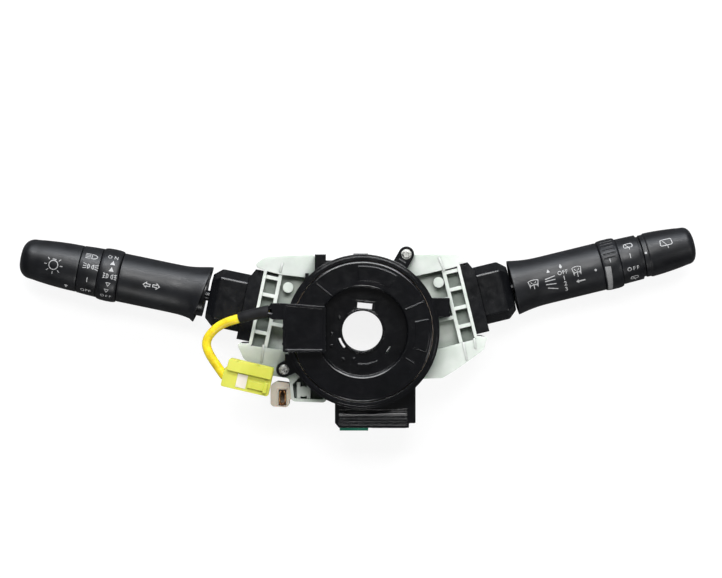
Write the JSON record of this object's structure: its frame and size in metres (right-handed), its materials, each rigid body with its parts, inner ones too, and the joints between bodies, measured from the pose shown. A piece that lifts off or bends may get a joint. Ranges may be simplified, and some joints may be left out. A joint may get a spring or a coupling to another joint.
{
  "type": "airbag clock spring with column switch levers",
  "caption": "Steering column switch assembly: airbag clock spring in front of a ribbed body, with a light lever, a wiper lever and a short airbag lead.",
  "frame": {"origin": "on the column axis at the rear face of the switch body", "axes": "+Z along the column axis towards the driver, +X towards the wiper lever, +Y up as mounted"},
  "size_m": [0.4419, 0.1304, 0.073],
  "materials": {
    "natural_nylon": "translucent natural moulding",
    "beige_nylon": "translucent moulding",
    "bronze": "rolled strip",
    "black_gloss": "moulded gloss",
    "black_satin": "moulded satin",
    "lever_black": "fine grained",
    "zinc_steel": "zinc plated",
    "green_plastic": "moulded",
    "tin_brass": "tinned",
    "natural_acetal": "moulded",
    "flat_cable": "flat ribbon",
    "black_sleeve": "shrink sleeve",
    "yellow_tube": "soft PVC",
    "yellow_plastic": "moulded",
    "pale_lock": "moulded"
  },
  "bodies": {
    "root": {"switch_body": "natural_nylon", "clip_boss": "beige_nylon", "ground_clip": "bronze", "stator_housing": "black_gloss", "stator_base": "black_gloss", "stator_screws": "zinc_steel", "harness_socket_green": "green_plastic", "harness_socket_black": "black_satin", "green_socket_pins": "tin_brass", "black_socket_pins": "tin_brass", "outer_winding": "flat_cable", "light_module_case": "black_satin", "light_module_cover": "black_satin", "light_module_pins": "tin_brass", "light_detent_block": "natural_acetal", "light_contact_board": "tin_brass", "light_flange": "black_satin", "light_collar": "black_satin", "wiper_module_case": "black_satin", "wiper_module_cover": "black_satin", "wiper_module_pins": "tin_brass", "wiper_detent_block": "natural_acetal", "wiper_contact_board": "tin_brass", "wiper_flange": "black_satin", "wiper_collar": "black_satin"},
    "clock_rotor": {"rotor": "black_gloss", "cancel_cam": "natural_acetal", "inner_winding": "flat_cable", "rotor_box": "black_gloss", "rotor_box_lid": "black_gloss", "lead_sleeve": "black_sleeve", "lead_tube": "yellow_tube", "airbag_plug": "yellow_plastic", "plug_lock": "pale_lock", "plug_latch": "yellow_plastic"},
    "ribbon_carrier": {"roller_carrier": "natural_acetal"},
    "ribbon_roller_1": {"cable_roller_1": "natural_acetal"},
    "ribbon_roller_2": {"cable_roller_2": "natural_acetal"},
    "ribbon_roller_3": {"cable_roller_3": "natural_acetal"},
    "light_swivel": {"light_gimbal": "natural_acetal", "light_pivot_pin": "zinc_steel"},
    "light_lever": {"light_lever_core": "black_satin", "light_stalk": "lever_black", "light_band": "lever_black"},
    "light_plunger": {"light_detent_plunger": "natural_acetal"},
    "fog_ring": {"light_fog_ring": "lever_black"},
    "light_knob": {"light_end_knob": "lever_black"},
    "wiper_swivel": {"wiper_gimbal": "natural_acetal", "wiper_pivot_pin": "zinc_steel"},
    "wiper_lever": {"wiper_lever_core": "black_satin", "wiper_stalk": "lever_black", "wiper_band": "lever_black"},
    "wiper_plunger": {"wiper_detent_plunger": "natural_acetal"},
    "interval_ring": {"wiper_interval_ring": "lever_black"},
    "wiper_knob": {"wiper_end_knob": "lever_black"}
  },
  "joints": [
    {"name": "rotor_spin", "type": "hinge", "parent": "root", "child": "clock_rotor", "pos_m": [0, 0, 0.055], "axis": [0, 0, 1], "range_deg": [-900, 900]},
    {"name": "carrier_drift", "type": "hinge", "parent": "root", "child": "ribbon_carrier", "pos_m": [0, 0, 0.047], "axis": [0, 0, 1], "range_deg": [-400, 400]},
    {"name": "light_signal", "type": "hinge", "parent": "root", "child": "light_swivel", "pos_m": [-0.0491, 0.0119, 0.02], "axis": [0, 0, -1], "range_deg": [-8, 8]},
    {"name": "light_pull", "type": "hinge", "parent": "light_swivel", "child": "light_lever", "pos_m": [-0.0491, 0.0119, 0.02], "axis": [0.2045, 0.9789, 0], "range_deg": [-5, 7], "stiffness_Nm_per_rad": 8},
    {"name": "light_plunger_slide", "type": "slide", "parent": "light_lever", "child": "light_plunger", "axis": [-0.9789, 0.2045, 0], "range_m": [0, 0.0012], "stiffness_N_per_m": 900},
    {"name": "fog_ring_turn", "type": "hinge", "parent": "light_lever", "child": "fog_ring", "pos_m": [-0.0491, 0.0119, 0.02], "axis": [-0.9789, 0.2045, 0], "range_deg": [-25, 25]},
    {"name": "light_knob_turn", "type": "hinge", "parent": "light_lever", "child": "light_knob", "pos_m": [-0.0491, 0.0119, 0.02], "axis": [-0.9789, 0.2045, 0], "range_deg": [0, 60]},
    {"name": "wiper_sweep", "type": "hinge", "parent": "root", "child": "wiper_swivel", "pos_m": [0.0493, 0.0158, 0.02], "axis": [0, 0, 1], "range_deg": [-9, 3]},
    {"name": "wiper_pull", "type": "hinge", "parent": "wiper_swivel", "child": "wiper_lever", "pos_m": [0.0493, 0.0158, 0.02], "axis": [0.2368, -0.9715, 0], "range_deg": [0, 7], "stiffness_Nm_per_rad": 8},
    {"name": "wiper_plunger_slide", "type": "slide", "parent": "wiper_lever", "child": "wiper_plunger", "axis": [0.9715, 0.2368, 0], "range_m": [0, 0.0012], "stiffness_N_per_m": 900},
    {"name": "interval_ring_turn", "type": "hinge", "parent": "wiper_lever", "child": "interval_ring", "pos_m": [0.0493, 0.0158, 0.02], "axis": [-0.9715, -0.2368, 0], "range_deg": [-40, 40]},
    {"name": "wiper_knob_turn", "type": "hinge", "parent": "wiper_lever", "child": "wiper_knob", "pos_m": [0.0493, 0.0158, 0.02], "axis": [-0.9715, -0.2368, 0], "range_deg": [-20, 40]},
    {"name": "roller_1_spin", "type": "hinge", "parent": "ribbon_carrier", "child": "ribbon_roller_1", "pos_m": [0, 0.03855, 0.053], "axis": [0, 0, 1], "range_deg": [-4500, 4500]},
    {"name": "roller_2_spin", "type": "hinge", "parent": "ribbon_carrier", "child": "ribbon_roller_2", "pos_m": [-0.03338, -0.01928, 0.053], "axis": [0, 0, 1], "range_deg": [-4500, 4500]},
    {"name": "roller_3_spin", "type": "hinge", "parent": "ribbon_carrier", "child": "ribbon_roller_3", "pos_m": [0.03338, -0.01928, 0.053], "axis": [0, 0, 1], "range_deg": [-4500, 4500]}
  ],
  "couplings": [
    {"joint": "carrier_drift", "follows": "rotor_spin", "ratio": 0.4319},
    {"joint": "roller_1_spin", "follows": "rotor_spin", "ratio": -4.851},
    {"joint": "roller_2_spin", "follows": "rotor_spin", "ratio": -4.851},
    {"joint": "roller_3_spin", "follows": "rotor_spin", "ratio": -4.851}
  ]
}
